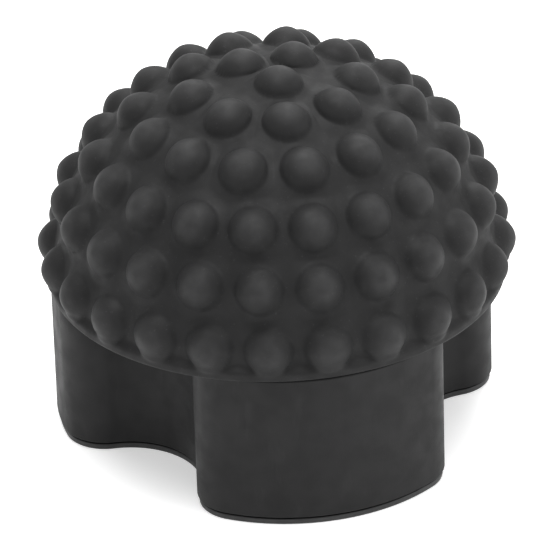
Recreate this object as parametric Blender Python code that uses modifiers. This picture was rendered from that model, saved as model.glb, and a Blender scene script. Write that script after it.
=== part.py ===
"""Case opening friction ball: a knobbed rubber half ball on a three-lobed grip.

The ball is pressed on a watch's screwed case back and turned by the grip. The frame's origin is the
centre of the resting face, +Z is up, and one of the three lobes points to -Y. Units are metres.
"""

import math

import bmesh
import bpy
from mathutils import Matrix, Vector

MM = 0.001
GAP = 0.3 * MM  # between neighbouring pieces
CUT_PAST = 1.0 * MM  # how far a cutter runs past the surface it opens

# Half ball
TIP_RADIUS = 35.0 * MM  # to the tips of the knobs: the tool is 70 mm across
SKIN_RADIUS = 32.2 * MM  # to the surface between the knobs
SKIN_THICKNESS = 2.8 * MM
BALL_SINK = 0.3 * MM  # the ball's centre lies this far under the rim
KNOB_RADIUS = 3.5 * MM
KNOB_ROOT = 1.0 * MM  # how far a knob's plug goes below the knob's own centre
KNOB_SEGMENTS = 8
KNOB_LEVELS = 6
# Each ring of knobs: its latitude, its number of knobs and the turn of its first knob from -Y
KNOB_RINGS = (
    (7.8, 24, -1.2),
    (23.2, 22, -2.1),
    (38.1, 19, -1.7),
    (53.4, 14, -0.7),
    (67.8, 9, -4.3),
    (82.0, 3, -0.5),
)
RIM_RADIUS = 33.3 * MM
RIM_HEIGHT = 1.0 * MM
RIM_EDGE = 0.45 * MM  # chamfer of the rim's lower edge
RIM_SHOULDER_IN = 0.4 * MM  # the rim's sloped shoulder, under the lowest knobs
RIM_SHOULDER_RISE = 0.5 * MM
RIM_BLEND_LATITUDE = 5.0  # where the rim runs out into the ball
FLANGE_BORE = 11.3 * MM
FLANGE_THICKNESS = 2.6 * MM
BALL_STEPS = 12  # facets from the ball's pole to its rim

# Grip: three lobes with a scallop between each two
LOBES = 3
LOBE_REACH = 33.3 * MM  # from the axis to the outermost line of a lobe
LOBE_ARC = 27.0 * MM  # radius of a lobe's outer arc
CORNER_RADIUS = 6.4 * MM  # where a lobe turns into a scallop
SCALLOP_RADIUS = 10.7 * MM
SCALLOP_CENTRE = 31.3 * MM  # from the axis
GRIP_TOP = 23.7 * MM
GRIP_WALL = 2.6 * MM
DECK_THICKNESS = 2.4 * MM
GRIP_EDGE = 0.5 * MM
GRIP_EDGE_STEPS = 2
ARC_STEP = math.radians(12)

# Base cover
COVER_EDGE_HEIGHT = 0.9 * MM  # the strip that shows round the foot
COVER_INSET = 0.3 * MM
COVER_THICKNESS = 2.4 * MM
COVER_CHAMFER = 0.25 * MM

# Retaining ring and core
RING_OUTER = 19.0 * MM
RING_INNER = 11.6 * MM
RING_THICKNESS = 2.5 * MM
CORE_RELIEF = 0.9 * MM  # space over the ring for the screws' ends

# Screws
SHANK_RADIUS = 1.2 * MM
SHANK_TIP_RADIUS = 0.85 * MM
SHANK_TIP_LENGTH = 0.7 * MM
HOLE_RADIUS = SHANK_RADIUS + GAP
HEAD_RADIUS = 2.4 * MM
HEAD_HEIGHT = 1.2 * MM
HEAD_EDGE = 0.4 * MM
SOCKET_RADIUS = 1.15 * MM
SOCKET_DEPTH = 0.7 * MM
SOCKET_SIDES = 6
RING_SCREWS = 6
RING_SCREW_CIRCLE = 15.2 * MM
COVER_SCREW_CIRCLE = 23.5 * MM
COVER_SCREW_REACH = 11.0 * MM  # height of the screws' ends
BORE_SPARE = 1.0 * MM  # depth of the boss's bore beyond the screw's end
HEAD_RECESS = 0.3 * MM  # how deep the heads lie under the resting face
BOSS_RADIUS = 3.4 * MM

ROUND_STEPS = 48
BOSS_STEPS = 24
SCREW_STEPS = 12
CORNER_ANGLE = math.radians(60)  # corners sharper than this get their edge broken
SMOOTH_ANGLE = math.radians(35)
WELD = 0.01 * MM

# Heights of the stack, from the resting face up
GRIP_FOOT = COVER_EDGE_HEIGHT + GAP
DECK_FLOOR = GRIP_TOP - DECK_THICKNESS
RIM_Z = GRIP_TOP + GAP  # the dome's flat underside
BALL_Z = RIM_Z - BALL_SINK
FLANGE_TOP = RIM_Z + FLANGE_THICKNESS
RING_FLOOR = FLANGE_TOP + GAP
RING_TOP = RING_FLOOR + RING_THICKNESS

RUBBER = ("dome_rubber", (0.014, 0.014, 0.0143, 1.0), 0.72, 0.0)
GRIP_PLASTIC = ("grip_soft_touch", (0.016, 0.016, 0.0163, 1.0), 0.62, 0.0)
COVER_PLASTIC = ("cover_plastic", (0.018, 0.018, 0.0184, 1.0), 0.55, 0.0)
CORE_FOAM = ("core_elastomer", (0.22, 0.20, 0.17, 1.0), 0.85, 0.0)
STEEL = ("fastener_steel", (0.62, 0.62, 0.63, 1.0), 0.32, 1.0)


def clear_scene():
    for obj in list(bpy.data.objects):
        bpy.data.objects.remove(obj, do_unlink=True)


def new_collection(name):
    collection = bpy.data.collections.new(name)
    bpy.context.scene.collection.children.link(collection)
    return collection


def new_material(name, color, roughness, metallic):
    material = bpy.data.materials.new(name)
    material.use_nodes = True
    shader = material.node_tree.nodes["Principled BSDF"]
    shader.inputs["Base Color"].default_value = color
    shader.inputs["Roughness"].default_value = roughness
    shader.inputs["Metallic"].default_value = metallic
    material.diffuse_color = color
    return material


def add_object(name, mesh, collection):
    obj = bpy.data.objects.new(name, mesh)
    collection.objects.link(obj)
    return obj


def mesh_from_bmesh(name, bm):
    mesh = bpy.data.meshes.new(name)
    bm.to_mesh(mesh)
    bm.free()
    return mesh


def evaluated_mesh(obj):
    """The object's mesh as its modifiers or its curve settings shape it."""
    bpy.context.view_layer.update()
    graph = bpy.context.evaluated_depsgraph_get()
    return bpy.data.meshes.new_from_object(obj.evaluated_get(graph))


def arc(centre, radius, start, end):
    """Points from angle start to angle end on a circle, both ends included."""
    count = max(2, math.ceil(abs(end - start) / ARC_STEP))
    angles = [start + (end - start) * i / count for i in range(count + 1)]
    return [Vector((centre.x + radius * math.cos(a), centre.y + radius * math.sin(a))) for a in angles]


def angle_of(vector):
    return math.atan2(vector.y, vector.x)


def arc_centres():
    """Centres of a lobe's arc, of the corner arc next to it and of the scallop after that.

    The lobe lies along +X and the scallop half a lobe's turn on from it. The corner arc touches the
    lobe's arc from inside and the scallop from outside.
    """
    lobe = Vector((LOBE_REACH - LOBE_ARC, 0))
    turn = math.pi / LOBES
    scallop = SCALLOP_CENTRE * Vector((math.cos(turn), math.sin(turn)))
    to_lobe = LOBE_ARC - CORNER_RADIUS
    to_scallop = SCALLOP_RADIUS + CORNER_RADIUS
    line = scallop - lobe
    span = line.length
    along = (to_lobe**2 - to_scallop**2 + span**2) / (2 * span)
    aside = math.sqrt(to_lobe**2 - along**2)
    line.normalize()
    corner = lobe + along * line + aside * Vector((line.y, -line.x))
    return lobe, corner, scallop


def lobed_outline(inset):
    """The grip's plan, moved inwards by inset, as points in order against the clock."""
    lobe, corner, scallop = arc_centres()
    lobe_end = angle_of(corner - lobe)
    corner_end = angle_of(scallop - corner)
    half = arc(lobe, LOBE_ARC - inset, 0, lobe_end)
    half += arc(corner, CORNER_RADIUS - inset, lobe_end, corner_end)[1:]
    scallop_start = corner_end + math.pi
    scallop_end = math.pi / LOBES + math.pi
    half += arc(scallop, SCALLOP_RADIUS + inset, scallop_start, scallop_end)[1:]
    mirrored = [Vector((p.x, -p.y)) for p in reversed(half[1:-1])]
    sector = mirrored + half
    points = []
    for lobe_number in range(LOBES):
        turn = Matrix.Rotation(lobe_number * math.tau / LOBES - math.pi / 2, 2)
        points += [turn @ p for p in sector]
    return points


def prism(name, points, low, high, collection):
    """A solid with that plan between two heights, from a filled flat curve."""
    curve = bpy.data.curves.new(name, "CURVE")
    curve.dimensions = "2D"
    curve.fill_mode = "BOTH"
    curve.extrude = (high - low) / 2
    spline = curve.splines.new("POLY")
    spline.points.add(len(points) - 1)
    for target, point in zip(spline.points, points):
        target.co = (point.x, point.y, 0, 1)
    spline.use_cyclic_u = True
    outline = add_object(name + "_outline", curve, collection)
    outline.location.z = (low + high) / 2
    mesh = evaluated_mesh(outline)
    bm = bmesh.new()
    bm.from_mesh(mesh)
    bmesh.ops.remove_doubles(bm, verts=bm.verts, dist=WELD)
    bmesh.ops.recalc_face_normals(bm, faces=bm.faces)
    solid = add_object(name, mesh_from_bmesh(name, bm), collection)
    solid.matrix_world = outline.matrix_world
    bpy.data.objects.remove(outline, do_unlink=True)
    return solid


def cylinder(name, radius, low, high, places, collection, steps=SCREW_STEPS):
    """One mesh of upright cylinders between two heights, one at each place (x, y)."""
    bm = bmesh.new()
    for x, y in places:
        bmesh.ops.create_cone(
            bm,
            cap_ends=True,
            segments=steps,
            radius1=radius,
            radius2=radius,
            depth=high - low,
            matrix=Matrix.Translation((x, y, (low + high) / 2)),
        )
    return add_object(name, mesh_from_bmesh(name, bm), collection)


def turned(name, profile, collection, steps=ROUND_STEPS):
    """A turned solid. The profile runs down the outer side, then back to where it started."""
    mesh = bpy.data.meshes.new(name)
    edges = [(i, i + 1) for i in range(len(profile) - 1)]
    mesh.from_pydata([(r, 0, z) for r, z in profile], edges, [])
    obj = add_object(name, mesh, collection)
    screw = obj.modifiers.new("turn", "SCREW")
    screw.axis = "Z"
    screw.steps = steps
    screw.render_steps = steps
    screw.use_merge_vertices = True
    screw.merge_threshold = WELD
    screw.use_smooth_shade = True
    return obj


def boolean(target, tool, operation):
    modifier = target.modifiers.new(operation.lower(), "BOOLEAN")
    modifier.operation = operation
    modifier.solver = "EXACT"
    modifier.object = tool
    tool.hide_render = True
    tool.display_type = "WIRE"


def polar(radius, count):
    """Places on a circle, counted from -Y."""
    angles = [i * math.tau / count for i in range(count)]
    return [(radius * math.sin(a), -radius * math.cos(a)) for a in angles]


def break_edges(obj, width, segments):
    modifier = obj.modifiers.new("edge", "BEVEL")
    modifier.width = width
    modifier.segments = segments
    modifier.limit_method = "ANGLE"
    modifier.angle_limit = CORNER_ANGLE


def outward(latitude, turn):
    """The direction from the ball's centre at a latitude and a turn from -Y, both in radians."""
    level = math.cos(latitude)
    return Vector((level * math.sin(turn), -level * math.cos(turn), math.sin(latitude)))


def ball_line(radius, foot):
    """Points (r, z) on the ball's outline, from the pole down to the latitude foot."""
    line = [(0.0, BALL_Z + radius)]
    for i in range(1, BALL_STEPS + 1):
        latitude = math.pi / 2 + (foot - math.pi / 2) * i / BALL_STEPS
        line.append((radius * math.cos(latitude), BALL_Z + radius * math.sin(latitude)))
    return line


def knob_field(collection):
    """All knobs as one mesh of separate rounded plugs, each standing square to the ball."""
    bm = bmesh.new()
    for latitude, count, first in KNOB_RINGS:
        for i in range(count):
            direction = outward(math.radians(latitude), math.radians(first) + i * math.tau / count)
            knob = bmesh.ops.create_uvsphere(
                bm, u_segments=KNOB_SEGMENTS, v_segments=KNOB_LEVELS, radius=KNOB_RADIUS
            )["verts"]
            for vertex in knob:
                vertex.co.z = max(vertex.co.z, -KNOB_ROOT)
            centre = Vector((0, 0, BALL_Z)) + direction * (TIP_RADIUS - KNOB_RADIUS)
            aim = direction.to_track_quat("Z", "Y").to_matrix().to_4x4()
            bmesh.ops.transform(bm, matrix=Matrix.Translation(centre) @ aim, verts=knob)
    return add_object("knob_field", mesh_from_bmesh("knob_field", bm), collection)


def friction_dome(parts, cutters):
    """The hollow rubber half ball with its knobs, its rim and a flat flange turned in at the foot."""
    inner = SKIN_RADIUS - SKIN_THICKNESS
    inner_foot = math.asin((FLANGE_TOP - BALL_Z) / inner)
    rim_top = RIM_Z + RIM_HEIGHT
    profile = ball_line(SKIN_RADIUS, math.radians(RIM_BLEND_LATITUDE))
    profile += [
        (RIM_RADIUS - RIM_SHOULDER_IN, rim_top + RIM_SHOULDER_RISE),
        (RIM_RADIUS, rim_top),
        (RIM_RADIUS, RIM_Z + RIM_EDGE),
        (RIM_RADIUS - RIM_EDGE, RIM_Z),
        (FLANGE_BORE, RIM_Z),
        (FLANGE_BORE, FLANGE_TOP),
    ]
    profile += reversed(ball_line(inner, inner_foot))
    dome = turned("friction_dome", profile, parts)
    boolean(dome, knob_field(cutters), "UNION")
    places = polar(RING_SCREW_CIRCLE, RING_SCREWS)
    low, high = RIM_Z - CUT_PAST, FLANGE_TOP + CUT_PAST
    boolean(dome, cylinder("flange_holes", HOLE_RADIUS, low, high, places, cutters), "DIFFERENCE")
    return dome


def dome_core(parts):
    """The solid elastomer half ball that backs the rubber, relieved over the retaining ring."""
    radius = SKIN_RADIUS - SKIN_THICKNESS - GAP
    pocket_radius = RING_OUTER + GAP
    pocket_top = RING_TOP + CORE_RELIEF
    profile = ball_line(radius, math.asin((RING_FLOOR - BALL_Z) / radius))
    profile += [(pocket_radius, RING_FLOOR), (pocket_radius, pocket_top), (0.0, pocket_top)]
    return turned("dome_core", profile, parts)


def retaining_ring(parts, cutters):
    """The steel washer that clamps the dome's flange down on the grip's deck."""
    profile = [
        (RING_INNER, RING_TOP),
        (RING_OUTER, RING_TOP),
        (RING_OUTER, RING_FLOOR),
        (RING_INNER, RING_FLOOR),
        (RING_INNER, RING_TOP),
    ]
    ring = turned("retaining_ring", profile, parts)
    places = polar(RING_SCREW_CIRCLE, RING_SCREWS)
    low, high = RING_FLOOR - CUT_PAST, RING_TOP + CUT_PAST
    boolean(ring, cylinder("ring_holes", HOLE_RADIUS, low, high, places, cutters), "DIFFERENCE")
    return ring


def screw_set(name, places, head_low, end, parts, cutters):
    """Pan-head screws with a hexagon socket, heads down, one object each on a shared mesh."""
    head_top = head_low + HEAD_HEIGHT
    profile = [
        (0.0, end),
        (SHANK_TIP_RADIUS, end),
        (SHANK_RADIUS, end - SHANK_TIP_LENGTH),
        (SHANK_RADIUS, head_top),
        (HEAD_RADIUS, head_top),
        (HEAD_RADIUS, head_low + HEAD_EDGE),
        (HEAD_RADIUS - HEAD_EDGE, head_low),
        (0.0, head_low),
    ]
    blank = turned(name + "_blank", profile, cutters, SCREW_STEPS)
    low, high = head_low - CUT_PAST, head_low + SOCKET_DEPTH
    socket = cylinder(name + "_socket", SOCKET_RADIUS, low, high, [(0, 0)], cutters, SOCKET_SIDES)
    boolean(blank, socket, "DIFFERENCE")
    mesh = evaluated_mesh(blank)
    bpy.data.objects.remove(blank, do_unlink=True)
    bpy.data.objects.remove(socket, do_unlink=True)
    screws = []
    for number, (x, y) in enumerate(places, start=1):
        screw = add_object(f"{name}_{number}", mesh, parts)
        screw.location = (x, y, 0)
        screws.append(screw)
    return screws


def grip_body(parts, cutters):
    """The three-lobed moulding: an outer wall, a deck under the ball and a screw boss in each lobe."""
    grip = prism("grip_body", lobed_outline(0), GRIP_FOOT, GRIP_TOP, parts)
    break_edges(grip, GRIP_EDGE, GRIP_EDGE_STEPS)
    hollow = prism("grip_hollow", lobed_outline(GRIP_WALL), -CUT_PAST, DECK_FLOOR, cutters)
    boolean(grip, hollow, "DIFFERENCE")
    boss_places = polar(COVER_SCREW_CIRCLE, LOBES)
    low, high = COVER_THICKNESS + GAP, DECK_FLOOR + CUT_PAST
    bosses = cylinder("screw_bosses", BOSS_RADIUS, low, high, boss_places, cutters, BOSS_STEPS)
    boolean(grip, bosses, "UNION")
    bore_top = COVER_SCREW_REACH + BORE_SPARE
    bores = cylinder("boss_bores", HOLE_RADIUS, -CUT_PAST, bore_top, boss_places, cutters)
    boolean(grip, bores, "DIFFERENCE")
    deck_places = polar(RING_SCREW_CIRCLE, RING_SCREWS)
    low, high = DECK_FLOOR - CUT_PAST, GRIP_TOP + CUT_PAST
    boolean(grip, cylinder("deck_holes", HOLE_RADIUS, low, high, deck_places, cutters), "DIFFERENCE")
    return grip


def base_cover(parts, cutters):
    """The foot plate: a thin strip that shows under the grip and a plug that fills the grip's mouth."""
    cover = prism("base_cover", lobed_outline(COVER_INSET), 0, COVER_EDGE_HEIGHT, parts)
    break_edges(cover, COVER_CHAMFER, 1)
    plug_low = COVER_EDGE_HEIGHT / 2
    plug = prism("cover_plug", lobed_outline(GRIP_WALL + GAP), plug_low, COVER_THICKNESS, cutters)
    boolean(cover, plug, "UNION")
    places = polar(COVER_SCREW_CIRCLE, LOBES)
    seat_top = HEAD_RECESS + HEAD_HEIGHT + GAP
    seats = cylinder("cover_seats", HEAD_RADIUS + GAP, -CUT_PAST, seat_top, places, cutters)
    boolean(cover, seats, "DIFFERENCE")
    through = COVER_THICKNESS + CUT_PAST
    holes = cylinder("cover_holes", HOLE_RADIUS, -CUT_PAST, through, places, cutters)
    boolean(cover, holes, "DIFFERENCE")
    return cover


def finish(obj, material):
    obj.data.materials.clear()
    obj.data.materials.append(material)
    if not any(m.type == "SCREW" for m in obj.modifiers):
        obj.data.shade_smooth()
        obj.data.set_sharp_from_angle(angle=SMOOTH_ANGLE)


def build():
    clear_scene()
    parts = new_collection("case_opening_friction_ball")
    cutters = new_collection("cutters")
    finish(friction_dome(parts, cutters), new_material(*RUBBER))
    finish(dome_core(parts), new_material(*CORE_FOAM))
    finish(grip_body(parts, cutters), new_material(*GRIP_PLASTIC))
    finish(base_cover(parts, cutters), new_material(*COVER_PLASTIC))
    steel = new_material(*STEEL)
    finish(retaining_ring(parts, cutters), steel)
    ring_screw_head = DECK_FLOOR - GAP - HEAD_HEIGHT
    ring_places = polar(RING_SCREW_CIRCLE, RING_SCREWS)
    cover_places = polar(COVER_SCREW_CIRCLE, LOBES)
    screws = screw_set("ring_screw", ring_places, ring_screw_head, RING_TOP, parts, cutters)
    screws += screw_set("cover_screw", cover_places, HEAD_RECESS, COVER_SCREW_REACH, parts, cutters)
    for screw in screws:
        finish(screw, steel)


build()
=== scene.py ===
"""Case opening friction ball: the finished look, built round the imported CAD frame.

Everything is in metres in the CAD's own frame: +Z is up, the tool stands on z = 0 and one lobe of its grip
points to -Y. The rubber, the grip, its cover and the cover's screws get finer meshes than the CAD solids;
the pieces shut inside keep their CAD shape and get their own finishes.
"""

import math

import bmesh
import bpy
import numpy as np
from mathutils import Matrix, Vector


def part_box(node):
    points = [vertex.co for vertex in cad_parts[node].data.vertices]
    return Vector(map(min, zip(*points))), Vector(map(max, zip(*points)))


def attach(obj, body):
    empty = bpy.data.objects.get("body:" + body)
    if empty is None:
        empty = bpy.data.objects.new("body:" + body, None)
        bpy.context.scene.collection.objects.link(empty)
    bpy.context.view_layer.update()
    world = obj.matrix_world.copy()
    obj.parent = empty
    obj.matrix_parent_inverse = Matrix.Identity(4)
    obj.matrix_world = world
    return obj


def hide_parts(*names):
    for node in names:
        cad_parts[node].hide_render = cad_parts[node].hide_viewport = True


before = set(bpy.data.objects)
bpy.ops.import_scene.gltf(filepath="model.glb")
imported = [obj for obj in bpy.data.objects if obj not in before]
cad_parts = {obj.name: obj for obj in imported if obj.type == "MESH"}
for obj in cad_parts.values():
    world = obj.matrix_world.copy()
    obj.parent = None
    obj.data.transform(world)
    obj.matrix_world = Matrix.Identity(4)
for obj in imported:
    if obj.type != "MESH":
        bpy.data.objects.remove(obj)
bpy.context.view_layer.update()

MM = 0.001
BODY = "root"
GAP = 0.3 * MM  # between neighbouring pieces
CUT_PAST = 1.0 * MM  # how far a cutter runs past the surface it opens

# Heights and reaches that the frame gives
dome_low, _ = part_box("friction_dome")
grip_low, grip_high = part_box("grip_body")
_, cover_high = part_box("base_cover")
screw_low, screw_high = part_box("cover_screw_1")
RIM_Z = dome_low.z
GRIP_FOOT = grip_low.z
GRIP_TOP = grip_high.z
LOBE_REACH = -grip_low.y
COVER_TOP = cover_high.z
SCREW_END = screw_high.z
SCREW_HEAD_LOW = screw_low.z

# Half ball, in the CAD's sizes, with finer edges and softer knobs
TIP_RADIUS = 34.97 * MM  # a hair inside the CAD's knobs
SKIN_RADIUS = 32.2 * MM
INNER_RADIUS = 29.4 * MM  # of the hollow
BALL_SINK = 0.3 * MM  # the ball's centre lies this far under the rim
RIM_RADIUS = 33.3 * MM
RIM_EDGE = 0.2 * MM
RIM_EDGE_STEPS = 4
RIM_SEAT = 0.25 * MM  # how far the rubber bulges down to seat on the grip
RIM_SHOULDER = (0.8 * MM, 2.0 * MM)  # heights over which the rim runs out into the ball
FLANGE_BORE = 11.3 * MM
FLANGE_THICKNESS = 2.6 * MM
KNOB_FOOT = 3.4 * MM  # a knob's radius at its foot
KNOB_RISE = 3.6 * MM  # from the foot, under the skin, to the tip
KNOB_FULLNESS = 1.8  # 2 is a ball's outline, less is more pointed
KNOB_STEEPNESS = 0.55  # 0.5 leaves the skin square to it, more slopes away
KNOB_BLEND = 3.0 * MM  # width of the soft joint between knob and skin
# Each ring of knobs: its latitude, its number of knobs and the turn of its first knob from -Y
KNOB_RINGS = (
    (7.8, 24, -1.2),
    (23.2, 22, -2.1),
    (38.1, 19, -1.7),
    (53.4, 14, -0.7),
    (67.8, 9, -4.3),
    (82.0, 3, -0.5),
)
DOME_TURNS = 600  # points round each ring of the mesh
DOME_ROWS = 150  # rings from the pole to the rim
FLANGE_ROWS = 12
HOLLOW_ROWS = 24
DIRECTIONS_AT_ONCE = 20000

# Grip, in the CAD's sizes, with finer edges
LOBES = 3
LOBE_ARC = 27.0 * MM  # radius of a lobe's outer arc
CORNER_RADIUS = 6.4 * MM  # where a lobe turns into a scallop
SCALLOP_RADIUS = 10.7 * MM
SCALLOP_CENTRE = 31.3 * MM  # from the axis
GRIP_WALL = 2.6 * MM
DECK_THICKNESS = 2.4 * MM
GRIP_EDGE = 0.25 * MM
GRIP_EDGE_STEPS = 4
COVER_INSET = 0.3 * MM
COVER_EDGE_HEIGHT = 0.9 * MM  # the strip that shows round the foot
COVER_EDGE = 0.2 * MM
COVER_EDGE_STEPS = 3
ARC_STEP = math.radians(2.5)
CORNER_ANGLE = math.radians(60)  # corners sharper than this get their edge rounded
SMOOTH_ANGLE = math.radians(35)
BALL_SMOOTH_ANGLE = math.radians(50)

# Screws
SHANK_RADIUS = 1.2 * MM
SHANK_TIP_RADIUS = 0.85 * MM
SHANK_TIP_LENGTH = 0.7 * MM
HOLE_RADIUS = SHANK_RADIUS + GAP
HEAD_RADIUS = 2.4 * MM
HEAD_HEIGHT = 1.2 * MM
HEAD_EDGE = 0.4 * MM
SOCKET_RADIUS = 1.15 * MM
SOCKET_DEPTH = 0.7 * MM
SOCKET_SIDES = 6
RING_SCREWS = 6
RING_SCREW_CIRCLE = 15.2 * MM
COVER_SCREW_CIRCLE = 23.5 * MM
BORE_SPARE = 1.0 * MM  # depth of the boss's bore beyond the screw's end
BOSS_RADIUS = 3.4 * MM
ROUND_STEPS = 48
HEAD_EDGE_STEPS = 5

# Studio
FLOOR_REACH = 3.0  # from the floor's centre to each side
FLOOR_GLOW = 0.42
WORLD_STRENGTH = 0.68
# Each soft light: its name, azimuth and elevation in degrees, distance and size in metres, and power in watts
SOFT_LIGHTS = (
    ("top_softbox", 0, 88, 0.7, 0.5, 5.6),
    ("back_softbox", 170, 40, 0.8, 0.5, 0.6),
    ("back_right", 150, 35, 0.8, 0.4, 2.2),
    ("back_left", -150, 35, 0.8, 0.4, 0.3),
    ("right_softbox", 70, 20, 0.8, 0.5, 1.8),
)

# Camera, from the front lobe's left and above, with a long lens
CAMERA_AZIMUTH = -13.4  # degrees from -Y towards +X
CAMERA_ELEVATION = 29.5
CAMERA_DISTANCE = 0.80
CAMERA_LENS = 360.7  # in millimetres, on a sensor 36 wide
CAMERA_ROLL = -1.8
AIM = (-0.35 * MM, 23.6 * MM, -1.2 * MM)  # right of the axis, height, and up in the picture


def outward(azimuth, elevation):
    """The direction at an azimuth, counted from -Y towards +X, and an elevation, both in degrees."""
    a, e = math.radians(azimuth), math.radians(elevation)
    return Vector((math.sin(a) * math.cos(e), -math.cos(a) * math.cos(e), math.sin(e)))


def knob_directions():
    directions = []
    for latitude, count, first in KNOB_RINGS:
        directions += [outward(first + i * 360 / count, latitude) for i in range(count)]
    return np.array(directions)


def soft_max(a, b, width):
    """The larger of two heights, with a rounded joint where they cross."""
    overlap = np.clip(1 - np.abs(a - b) / width, 0, 1)
    return np.maximum(a, b) + overlap**2 * width / 4


def ball_radius(directions):
    """Distance from the ball's centre to its surface in each direction: skin, rim and knobs."""
    height = SKIN_RADIUS * directions[:, 2] - BALL_SINK
    low, high = RIM_SHOULDER
    t = np.clip((height - low) / (high - low), 0, 1)
    shoulder = 1 - t * t * (3 - 2 * t)
    skin = SKIN_RADIUS + (RIM_RADIUS - SKIN_RADIUS) * shoulder
    foot = TIP_RADIUS - KNOB_RISE
    knobs = np.empty(len(directions))
    for start in range(0, len(directions), DIRECTIONS_AT_ONCE):
        part = slice(start, start + DIRECTIONS_AT_ONCE)
        facing = np.clip((directions[part] @ knob_directions().T).max(axis=1), -1, 1)
        across = SKIN_RADIUS * np.sqrt(1 - facing**2) / KNOB_FOOT
        cap = KNOB_RISE * np.clip(1 - across**KNOB_FULLNESS, 0, 1) ** KNOB_STEEPNESS
        knobs[part] = foot + cap - np.clip(across - 1, 0, 1) * KNOB_BLEND
    return soft_max(skin, knobs, KNOB_BLEND)


def ring_points(radius, height, turns):
    """Points on a level circle round the axis, counted from -Y."""
    angles = np.arange(turns) * math.tau / turns
    return np.column_stack([radius * np.sin(angles), -radius * np.cos(angles), np.full(turns, height)])


def link(name, data):
    obj = bpy.data.objects.new(name, data)
    bpy.context.scene.collection.objects.link(obj)
    return obj


def linked_bmesh(name, bm):
    mesh = bpy.data.meshes.new(name)
    bm.to_mesh(mesh)
    bm.free()
    return link(name, mesh)


def lofted(name, rows, top, bottom):
    """A closed mesh through rings of points, between a single point at each end."""
    turns = len(rows[0])
    points = np.vstack([[top], *rows, [bottom]])
    here = np.arange(turns)
    after = (here + 1) % turns
    faces = [(0, 1 + int(a), 1 + int(b)) for a, b in zip(here, after)]
    for r in range(len(rows) - 1):
        upper = 1 + r * turns
        lower = upper + turns
        faces += np.column_stack([upper + here, lower + here, lower + after, upper + after]).tolist()
    last = 1 + (len(rows) - 1) * turns
    end = len(points) - 1
    faces += [(last + int(a), end, last + int(b)) for a, b in zip(here, after)]
    mesh = bpy.data.meshes.new(name)
    mesh.from_pydata(points.tolist(), [], faces)
    mesh.update()
    mesh.shade_smooth()
    return link(name, mesh)


def ball_ring(latitude, radius):
    """A ring of points round the ball's centre, with heights counted from the rim."""
    ring = ring_points(math.cos(latitude), math.sin(latitude), DOME_TURNS) * radius
    return ring - np.array([0, 0, BALL_SINK])


def skin_rows():
    """Rings down the knobbed skin, from the pole to the rim."""
    rows = []
    lowest = math.asin((RIM_EDGE + BALL_SINK) / RIM_RADIUS)
    for i in range(1, DOME_ROWS + 1):
        latitude = math.pi / 2 + (lowest - math.pi / 2) * i / DOME_ROWS
        directions = ring_points(math.cos(latitude), math.sin(latitude), DOME_TURNS)
        rows.append(ball_ring(latitude, ball_radius(directions)[:, None]))
    return rows


def rim_rows():
    """Rings round the rim's rounded edge and in along the flange's underside."""
    rows = []
    for step in range(1, RIM_EDGE_STEPS + 1):
        a = step / RIM_EDGE_STEPS * math.pi / 2
        inward, drop = RIM_EDGE * (1 - math.cos(a)), (RIM_EDGE + RIM_SEAT) * math.sin(a)
        rows.append(ring_points(RIM_RADIUS - inward, RIM_EDGE - drop, DOME_TURNS))
    for radius in np.linspace(RIM_RADIUS - 2 * RIM_EDGE, FLANGE_BORE, FLANGE_ROWS):
        rows.append(ring_points(radius, -RIM_SEAT, DOME_TURNS))
    return rows


def hollow_rows():
    """Rings up the flange's bore and the hollow, from the flange to the pole."""
    foot = math.asin((FLANGE_THICKNESS + BALL_SINK) / INNER_RADIUS)
    rows = [ring_points(FLANGE_BORE, FLANGE_THICKNESS, DOME_TURNS)]
    for i in range(HOLLOW_ROWS):
        rows.append(ball_ring(foot + (math.pi / 2 - foot) * i / HOLLOW_ROWS, INNER_RADIUS))
    return rows


def rubber_ball():
    """The knobbed skin, its rim, the flange turned in at its foot and the hollow inside."""
    rows = skin_rows() + rim_rows() + hollow_rows()
    top = ball_radius(np.array([[0.0, 0.0, 1.0]]))[0] - BALL_SINK
    ball = lofted("friction_dome_rubber", rows, (0, 0, top), (0, 0, INNER_RADIUS - BALL_SINK))
    mesh = ball.data
    points = np.zeros(len(mesh.vertices) * 3)
    mesh.vertices.foreach_get("co", points)
    reach = np.linalg.norm(points.reshape(-1, 3) + np.array([0, 0, BALL_SINK]), axis=1)
    rise = np.clip((reach - SKIN_RADIUS) / (TIP_RADIUS - SKIN_RADIUS), 0, 1)
    mesh.attributes.new("knob_rise", "FLOAT", "POINT").data.foreach_set("value", rise)
    mesh.transform(Matrix.Translation((0, 0, RIM_Z)))
    mesh.set_sharp_from_angle(angle=BALL_SMOOTH_ANGLE)
    return ball


def arc(centre, radius, start, end):
    """Points from angle start to angle end on a circle, both ends included."""
    count = max(2, math.ceil(abs(end - start) / ARC_STEP))
    angles = [start + (end - start) * i / count for i in range(count + 1)]
    return [Vector((centre.x + radius * math.cos(a), centre.y + radius * math.sin(a))) for a in angles]


def angle_of(vector):
    return math.atan2(vector.y, vector.x)


def arc_centres():
    """Centres of a lobe's arc, of the corner arc next to it and of the scallop after that.

    The lobe lies along +X and the scallop half a lobe's turn on from it. The corner arc touches the
    lobe's arc from inside and the scallop from outside.
    """
    lobe = Vector((LOBE_REACH - LOBE_ARC, 0))
    turn = math.pi / LOBES
    scallop = SCALLOP_CENTRE * Vector((math.cos(turn), math.sin(turn)))
    to_lobe = LOBE_ARC - CORNER_RADIUS
    to_scallop = SCALLOP_RADIUS + CORNER_RADIUS
    line = scallop - lobe
    span = line.length
    along = (to_lobe**2 - to_scallop**2 + span**2) / (2 * span)
    aside = math.sqrt(to_lobe**2 - along**2)
    line.normalize()
    corner = lobe + along * line + aside * Vector((line.y, -line.x))
    return lobe, corner, scallop


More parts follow.
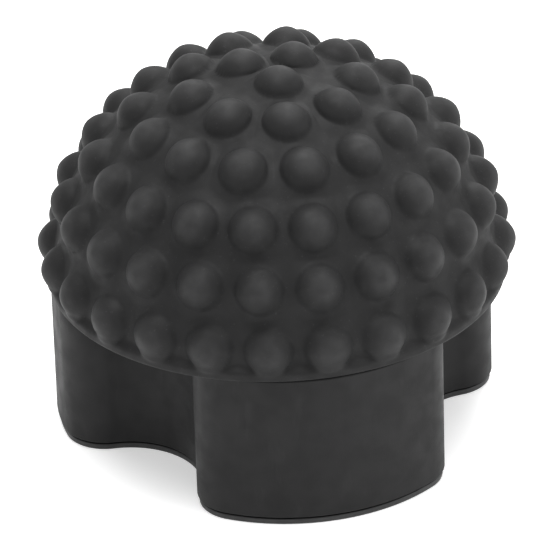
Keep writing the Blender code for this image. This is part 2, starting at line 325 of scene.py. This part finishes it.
def lobed_outline(inset):
    """The grip's plan, moved inwards by inset, as points in order against the clock."""
    lobe, corner, scallop = arc_centres()
    lobe_end = angle_of(corner - lobe)
    corner_end = angle_of(scallop - corner)
    half = arc(lobe, LOBE_ARC - inset, 0, lobe_end)
    half += arc(corner, CORNER_RADIUS - inset, lobe_end, corner_end)[1:]
    half += arc(scallop, SCALLOP_RADIUS + inset, corner_end + math.pi, math.pi / LOBES + math.pi)[1:]
    mirrored = [Vector((p.x, -p.y)) for p in reversed(half[1:-1])]
    points = []
    for lobe_number in range(LOBES):
        turn = Matrix.Rotation(lobe_number * math.tau / LOBES - math.pi / 2, 2)
        points += [turn @ p for p in mirrored + half]
    return points


def evaluated_mesh(obj):
    """The object's mesh as its modifiers shape it."""
    bpy.context.view_layer.update()
    graph = bpy.context.evaluated_depsgraph_get()
    return bpy.data.meshes.new_from_object(obj.evaluated_get(graph))


def prism(name, points, low, high):
    """A solid with that plan between two heights."""
    bm = bmesh.new()
    base = [bm.verts.new((p.x, p.y, low)) for p in points]
    face = bm.faces.new(base)
    lifted = bmesh.ops.extrude_face_region(bm, geom=[face])
    top = [v for v in lifted["geom"] if isinstance(v, bmesh.types.BMVert)]
    bmesh.ops.translate(bm, vec=(0, 0, high - low), verts=top)
    bmesh.ops.recalc_face_normals(bm, faces=bm.faces)
    return linked_bmesh(name, bm)


def rods(name, radius, low, high, places, steps=ROUND_STEPS):
    """One mesh of upright rods, one at each place (x, y)."""
    bm = bmesh.new()
    for x, y in places:
        at = Matrix.Translation((x, y, (low + high) / 2))
        bmesh.ops.create_cone(
            bm, cap_ends=True, segments=steps, radius1=radius, radius2=radius, depth=high - low, matrix=at
        )
    return linked_bmesh(name, bm)


def round_edges(obj, width, segments):
    bevel = obj.modifiers.new("edge", "BEVEL")
    bevel.width = width
    bevel.segments = segments
    bevel.limit_method = "ANGLE"
    bevel.angle_limit = CORNER_ANGLE


def boolean(target, tool, operation):
    modifier = target.modifiers.new(operation.lower(), "BOOLEAN")
    modifier.operation = operation
    modifier.solver = "EXACT"
    modifier.object = tool


def settled(obj, tools):
    """The object with its modifiers applied, its cutting tools removed and its flat faces shaded flat."""
    mesh = evaluated_mesh(obj)
    obj.modifiers.clear()
    obj.data = mesh
    for tool in tools:
        bpy.data.objects.remove(tool, do_unlink=True)
    mesh.shade_smooth()
    mesh.set_sharp_from_angle(angle=SMOOTH_ANGLE)
    even = obj.modifiers.new("even", "WEIGHTED_NORMAL")
    even.keep_sharp = True
    even.weight = 100
    obj.data = evaluated_mesh(obj)
    obj.modifiers.clear()
    return obj


def polar(radius, count):
    """Places on a circle, counted from -Y."""
    angles = [i * math.tau / count for i in range(count)]
    return [(radius * math.sin(a), -radius * math.cos(a)) for a in angles]


def grip():
    """The three-lobed moulding, open below, with a screw boss in each lobe and holes through its deck."""
    deck_floor = GRIP_TOP - DECK_THICKNESS
    body = prism("grip_body_moulding", lobed_outline(0), GRIP_FOOT, GRIP_TOP)
    round_edges(body, GRIP_EDGE, GRIP_EDGE_STEPS)
    boss_places = polar(COVER_SCREW_CIRCLE, LOBES)
    deck_places = polar(RING_SCREW_CIRCLE, RING_SCREWS)
    hollow = prism("hollow", lobed_outline(GRIP_WALL), -CUT_PAST, deck_floor)
    bosses = rods("bosses", BOSS_RADIUS, COVER_TOP + GAP, deck_floor + CUT_PAST, boss_places)
    bores = rods("bores", HOLE_RADIUS, -CUT_PAST, SCREW_END + BORE_SPARE, boss_places)
    holes = rods("holes", HOLE_RADIUS, deck_floor - CUT_PAST, GRIP_TOP + CUT_PAST, deck_places)
    boolean(body, hollow, "DIFFERENCE")
    boolean(body, bosses, "UNION")
    boolean(body, bores, "DIFFERENCE")
    boolean(body, holes, "DIFFERENCE")
    return settled(body, (hollow, bosses, bores, holes))


def cover():
    """The foot plate: a thin strip that shows under the grip and a plug that fills the grip's mouth."""
    plate = prism("base_cover_moulding", lobed_outline(COVER_INSET), 0, COVER_EDGE_HEIGHT)
    round_edges(plate, COVER_EDGE, COVER_EDGE_STEPS)
    places = polar(COVER_SCREW_CIRCLE, LOBES)
    plug = prism("plug", lobed_outline(GRIP_WALL + GAP), COVER_EDGE_HEIGHT / 2, COVER_TOP)
    seats = rods("seats", HEAD_RADIUS + GAP, -CUT_PAST, SCREW_HEAD_LOW + HEAD_HEIGHT + GAP, places)
    holes = rods("holes", HOLE_RADIUS, -CUT_PAST, COVER_TOP + CUT_PAST, places)
    boolean(plate, plug, "UNION")
    boolean(plate, seats, "DIFFERENCE")
    boolean(plate, holes, "DIFFERENCE")
    return settled(plate, (plug, seats, holes))


def cover_screw(number, place):
    """A pan-head screw with a hexagon socket, head down."""
    head_top = SCREW_HEAD_LOW + HEAD_HEIGHT
    profile = [
        (SHANK_TIP_RADIUS, SCREW_END),
        (SHANK_RADIUS, SCREW_END - SHANK_TIP_LENGTH),
        (SHANK_RADIUS, head_top),
        (HEAD_RADIUS, head_top),
        (HEAD_RADIUS, SCREW_HEAD_LOW + HEAD_EDGE),
    ]
    for step in range(1, HEAD_EDGE_STEPS + 1):
        a = step / HEAD_EDGE_STEPS * math.pi / 2
        inward, drop = HEAD_EDGE * (1 - math.cos(a)), HEAD_EDGE * math.sin(a)
        profile.append((HEAD_RADIUS - inward, SCREW_HEAD_LOW + HEAD_EDGE - drop))
    rows = [ring_points(r, z, ROUND_STEPS) for r, z in profile]
    screw = lofted(f"cover_screw_{number}_turned", rows, (0, 0, SCREW_END), (0, 0, SCREW_HEAD_LOW))
    low, high = SCREW_HEAD_LOW - CUT_PAST, SCREW_HEAD_LOW + SOCKET_DEPTH
    socket = rods("socket", SOCKET_RADIUS, low, high, [(0, 0)], SOCKET_SIDES)
    boolean(screw, socket, "DIFFERENCE")
    settled(screw, (socket,))
    screw.data.transform(Matrix.Translation((*place, 0)))
    return screw


class Nodes:
    """A small hand for wiring one material's nodes."""

    def __init__(self, name):
        self.material = bpy.data.materials.new(name)
        self.material.use_nodes = True
        self.tree = self.material.node_tree
        self.shader = self.tree.nodes["Principled BSDF"]
        self.place = self.tree.nodes.new("ShaderNodeTexCoord").outputs["Object"]

    def link(self, source, target):
        self.tree.links.new(source, target)

    def noise(self, size, detail=3.0, roughness=0.5, stretch=None):
        """Noise whose features are about size metres across, from 0 to 1."""
        node = self.tree.nodes.new("ShaderNodeTexNoise")
        node.inputs["Scale"].default_value = 1 / size
        node.inputs["Detail"].default_value = detail
        node.inputs["Roughness"].default_value = roughness
        place = self.place
        if stretch:
            mapping = self.tree.nodes.new("ShaderNodeMapping")
            mapping.inputs["Scale"].default_value = stretch
            self.link(place, mapping.inputs["Vector"])
            place = mapping.outputs["Vector"]
        self.link(place, node.inputs["Vector"])
        return node.outputs["Fac"]

    def cells(self, size):
        """Distance from the nearest of scattered points about size metres apart."""
        node = self.tree.nodes.new("ShaderNodeTexVoronoi")
        node.inputs["Scale"].default_value = 1 / size
        self.link(self.place, node.inputs["Vector"])
        return node.outputs["Distance"]

    def span(self, value, low, high, to_low=0.0, to_high=1.0):
        """The value eased from the range low to high into the range to_low to to_high."""
        node = self.tree.nodes.new("ShaderNodeMapRange")
        node.interpolation_type = "SMOOTHSTEP"
        node.inputs["From Min"].default_value = low
        node.inputs["From Max"].default_value = high
        node.inputs["To Min"].default_value = to_low
        node.inputs["To Max"].default_value = to_high
        self.link(value, node.inputs["Value"])
        return node.outputs["Result"]

    def product(self, a, b):
        node = self.tree.nodes.new("ShaderNodeMath")
        node.operation = "MULTIPLY"
        self.link(a, node.inputs[0])
        self.link(b, node.inputs[1])
        return node.outputs["Value"]

    def mix(self, factor, a, b):
        """A colour between a and b, each a colour or a socket."""
        node = self.tree.nodes.new("ShaderNodeMix")
        node.data_type = "RGBA"
        self.link(factor, node.inputs["Factor"])
        for socket, value in ((node.inputs[6], a), (node.inputs[7], b)):
            if isinstance(value, tuple):
                socket.default_value = (*value, 1.0)
            else:
                self.link(value, socket)
        return node.outputs[2]

    def bump(self, height, depth, strength=1.0, under=None):
        """The surface raised by height times depth, over another bump where one is given."""
        node = self.tree.nodes.new("ShaderNodeBump")
        node.inputs["Distance"].default_value = depth
        node.inputs["Strength"].default_value = strength
        self.link(height, node.inputs["Height"])
        if under is not None:
            self.link(under, node.inputs["Normal"])
        return node.outputs["Normal"]

    def attribute(self, name):
        node = self.tree.nodes.new("ShaderNodeAttribute")
        node.attribute_name = name
        return node.outputs["Fac"]

    def settle(self, colour, roughness, normal):
        """Wires the three into the shader."""
        self.link(colour, self.shader.inputs["Base Color"])
        self.link(roughness, self.shader.inputs["Roughness"])
        self.link(normal, self.shader.inputs["Normal"])

    def set(self, socket, value):
        self.shader.inputs[socket].default_value = value


def dome_rubber():
    """Matte black moulded rubber: pebbled at a tenth of a millimetre, bloomed grey, lighter on the knob tips,
    partly rubbed wear and partly a painted highlight.
    """
    m = Nodes("dome_rubber_finish")
    bloom = m.span(m.noise(9 * MM, 4.0, 0.6), 0.35, 0.75)
    colour = m.mix(bloom, (0.0100, 0.0100, 0.0102), (0.0135, 0.0135, 0.0138))
    # Knob tips lightened: partly rubbed wear, partly a painted highlight standing in for the light the tips
    # catch.
    tip_wear_and_highlight_noise = m.span(m.noise(1.6 * MM), 0.3, 0.7, 0.6, 1.0)
    tip_wear_and_painted_highlight = m.product(m.span(m.attribute("knob_rise"), 0.6, 1.0), tip_wear_and_highlight_noise)
    colour = m.mix(tip_wear_and_painted_highlight, colour, (0.0255, 0.0255, 0.0259))
    speck = m.span(m.noise(0.35 * MM, 2.0), 0.66, 0.74, 0.0, 0.5)
    colour = m.mix(speck, colour, (0.036, 0.036, 0.037))
    rough = m.span(m.noise(2.5 * MM), 0.3, 0.7, 0.60, 0.74)
    pebble = m.bump(m.noise(0.28 * MM, 3.0, 0.6), 0.03 * MM, 0.8)
    swell = m.bump(m.noise(3.5 * MM, 2.0), 0.12 * MM, 0.5, pebble)
    m.settle(colour, rough, swell)
    m.set("Specular IOR Level", 0.22)
    m.set("Sheen Weight", 0.01)
    m.set("Sheen Roughness", 0.45)
    return m.material


def grip_finish():
    """Matte black soft-touch moulding: finer grain than the ball, faint handling marks down the walls."""
    m = Nodes("grip_soft_touch_finish")
    bloom = m.span(m.noise(14 * MM, 4.0, 0.6), 0.3, 0.75)
    colour = m.mix(bloom, (0.0105, 0.0105, 0.0107), (0.0138, 0.0138, 0.0141))
    rub = m.span(m.noise(2.2 * MM, 3.0, 0.6, stretch=(1.0, 1.0, 0.25)), 0.58, 0.72, 0.0, 0.5)
    colour = m.mix(rub, colour, (0.0175, 0.0175, 0.0178))
    rough = m.span(m.noise(3 * MM), 0.3, 0.7, 0.52, 0.66)
    grain = m.bump(m.noise(0.18 * MM, 3.0, 0.6), 0.02 * MM, 0.7)
    swell = m.bump(m.noise(6 * MM, 2.0), 0.10 * MM, 0.4, grain)
    m.settle(colour, rough, swell)
    m.set("Specular IOR Level", 0.17)
    m.set("Sheen Weight", 0.005)
    m.set("Sheen Roughness", 0.4)
    return m.material


def cover_finish():
    """Black moulded cover with a spark-eroded texture, scuffed where it slides on the bench."""
    m = Nodes("cover_plastic_finish")
    tone = m.span(m.noise(10 * MM, 4.0), 0.3, 0.7)
    colour = m.mix(tone, (0.011, 0.011, 0.0112), (0.015, 0.015, 0.0153))
    scuff = m.span(m.noise(1.6 * MM, 4.0, 0.7, stretch=(1.0, 0.45, 1.0)), 0.60, 0.76, 0.0, 0.35)
    colour = m.mix(scuff, colour, (0.036, 0.036, 0.0365))
    rough = m.span(m.noise(1.5 * MM), 0.3, 0.7, 0.45, 0.62)
    m.settle(colour, rough, m.bump(m.noise(0.25 * MM, 4.0, 0.7), 0.04 * MM, 0.8))
    return m.material


def core_finish():
    """Sand-coloured foamed elastomer with fine open cells."""
    m = Nodes("core_elastomer_finish")
    tone = m.span(m.noise(6 * MM, 4.0), 0.3, 0.7)
    colour = m.mix(tone, (0.19, 0.17, 0.14), (0.25, 0.23, 0.19))
    pores = m.span(m.cells(0.8 * MM), 0.0, 0.35, 0.6, 0.0)
    colour = m.mix(pores, colour, (0.10, 0.09, 0.075))
    rough = m.span(m.noise(2 * MM), 0.3, 0.7, 0.78, 0.92)
    m.settle(colour, rough, m.bump(m.cells(0.8 * MM), 0.15 * MM, 0.8))
    return m.material


def steel_finish():
    """Zinc-plated steel: faint turning marks and a cloudy passivated tone."""
    m = Nodes("fastener_steel_finish")
    tone = m.span(m.noise(1.5 * MM, 4.0, 0.6), 0.3, 0.7)
    colour = m.mix(tone, (0.52, 0.52, 0.53), (0.66, 0.66, 0.66))
    rough = m.span(m.noise(0.6 * MM, 4.0), 0.3, 0.7, 0.24, 0.42)
    turning = m.noise(0.2 * MM, 3.0, stretch=(1.0, 1.0, 6.0))
    m.settle(colour, rough, m.bump(turning, 0.01 * MM, 0.6))
    m.set("Metallic", 1.0)
    return m.material


def dress(obj, material):
    obj.data.materials.clear()
    obj.data.materials.append(material)


def stand_for(piece, node, material):
    """Puts a finished piece in the place of that CAD node."""
    dress(piece, material)
    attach(piece, BODY)
    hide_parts(node)


def make_floor():
    """A sheet of white paper on a light table, so the tool's shadow on it stays pale."""
    bm = bmesh.new()
    bmesh.ops.create_grid(bm, x_segments=1, y_segments=1, size=FLOOR_REACH)
    floor = linked_bmesh("floor", bm)
    m = Nodes("floor_paper")
    tone = m.mix(m.noise(0.08), (0.86, 0.86, 0.86), (0.90, 0.90, 0.90))
    m.link(tone, m.shader.inputs["Base Color"])
    m.set("Roughness", 0.9)
    m.set("Emission Color", (1.0, 1.0, 1.0, 1.0))
    m.set("Emission Strength", FLOOR_GLOW)
    dress(floor, m.material)


def area_light(name, azimuth, elevation, distance, size, power):
    """A square soft light that faces the tool from that direction."""
    back = outward(azimuth, elevation)
    light = bpy.data.lights.new(name, "AREA")
    light.size = size
    light.energy = power
    obj = link(name, light)
    obj.location = Vector((0, 0, RIM_Z)) + back * distance
    obj.rotation_mode = "QUATERNION"
    obj.rotation_quaternion = (-back).to_track_quat("-Z", "Y")


def light_studio():
    world = bpy.data.worlds.new("studio")
    world.use_nodes = True
    sky = world.node_tree.nodes["Background"]
    sky.inputs["Color"].default_value = (1.0, 1.0, 1.0, 1.0)
    sky.inputs["Strength"].default_value = WORLD_STRENGTH
    bpy.context.scene.world = world
    for settings in SOFT_LIGHTS:
        area_light(*settings)


def make_camera():
    back = outward(CAMERA_AZIMUTH, CAMERA_ELEVATION)
    right = outward(CAMERA_AZIMUTH + 90, 0)
    up = back.cross(right)
    camera = bpy.data.cameras.new("camera")
    camera.lens = CAMERA_LENS
    camera.sensor_width = 36
    camera.clip_start = 0.05
    camera.clip_end = 20
    obj = link("camera", camera)
    aim = Vector((0, 0, AIM[1])) + right * AIM[0] + up * AIM[2]
    obj.location = aim + back * CAMERA_DISTANCE
    obj.rotation_mode = "QUATERNION"
    turn = Matrix((right, up, back)).transposed() @ Matrix.Rotation(math.radians(CAMERA_ROLL), 3, "Z")
    obj.rotation_quaternion = turn.to_quaternion()
    bpy.context.scene.camera = obj


def build():
    stand_for(rubber_ball(), "friction_dome", dome_rubber())
    stand_for(grip(), "grip_body", grip_finish())
    stand_for(cover(), "base_cover", cover_finish())
    steel = steel_finish()
    for number, place in enumerate(polar(COVER_SCREW_CIRCLE, LOBES), start=1):
        stand_for(cover_screw(number, place), f"cover_screw_{number}", steel)
    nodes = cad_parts
    dress(nodes["dome_core"], core_finish())
    dress(nodes["retaining_ring"], steel)
    for number in range(1, RING_SCREWS + 1):
        dress(nodes[f"ring_screw_{number}"], steel)
    make_floor()
    light_studio()
    make_camera()
    bpy.context.scene.view_settings.view_transform = "Standard"


build()
